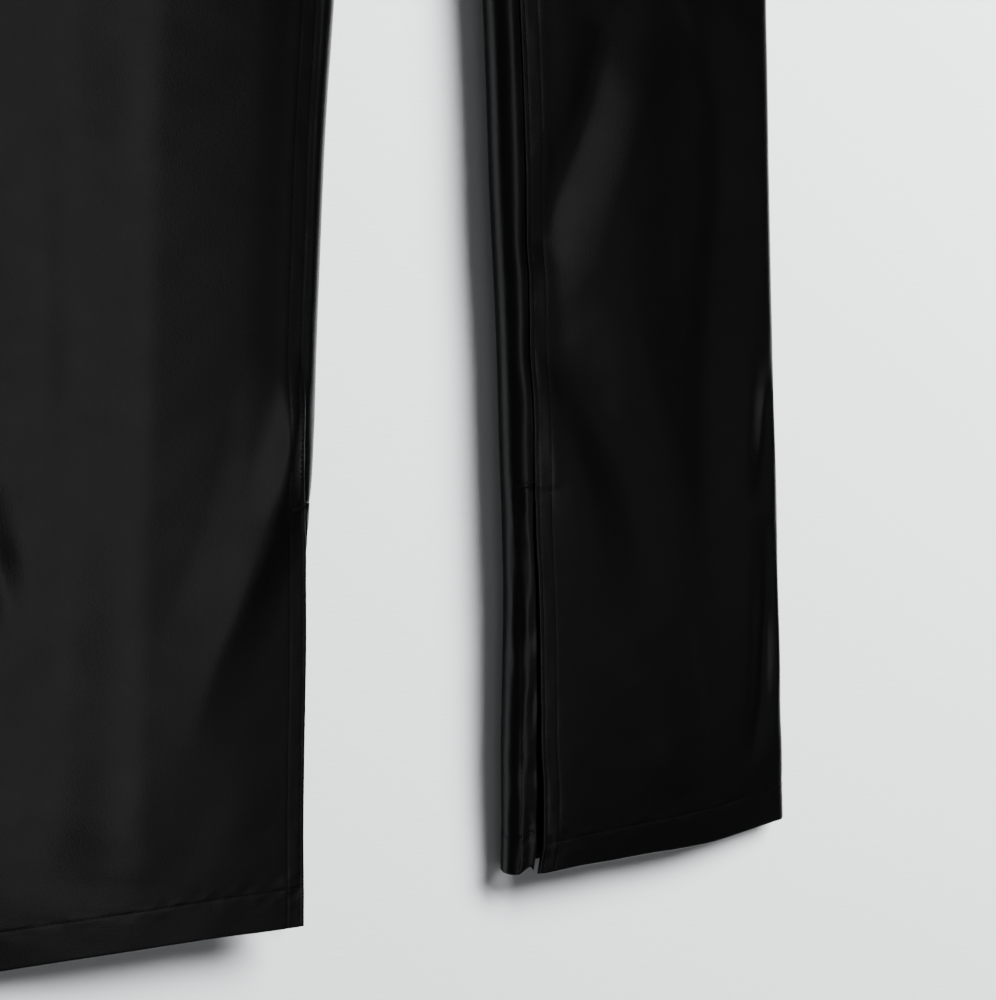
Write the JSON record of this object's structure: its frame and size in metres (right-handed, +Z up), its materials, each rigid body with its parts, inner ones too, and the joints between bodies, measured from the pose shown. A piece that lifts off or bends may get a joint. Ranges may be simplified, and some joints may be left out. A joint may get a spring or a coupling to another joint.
{
  "type": "faux leather leggings",
  "caption": "High-waisted black faux leather leggings laid flat, straight legs that widen a little to the hems, each with a slit at the bottom of its inseam.",
  "frame": {"origin": "centre of the garment's box at its underside, on the surface it lies on", "axes": "+Y from the hems to the waist, +Z up from the surface through the upper cloth, +X to the wearer's left leg"},
  "size_m": [0.4862, 1.004, 0.0309],
  "materials": {
    "faux_leather": "satin",
    "band": "satin"
  },
  "bodies": {
    "root": {"front_left_leg": "faux_leather", "front_right_leg": "faux_leather", "back_left_leg": "faux_leather", "back_right_leg": "faux_leather", "waistband_front": "band", "waistband_back": "band"}
  },
  "joints": []
}
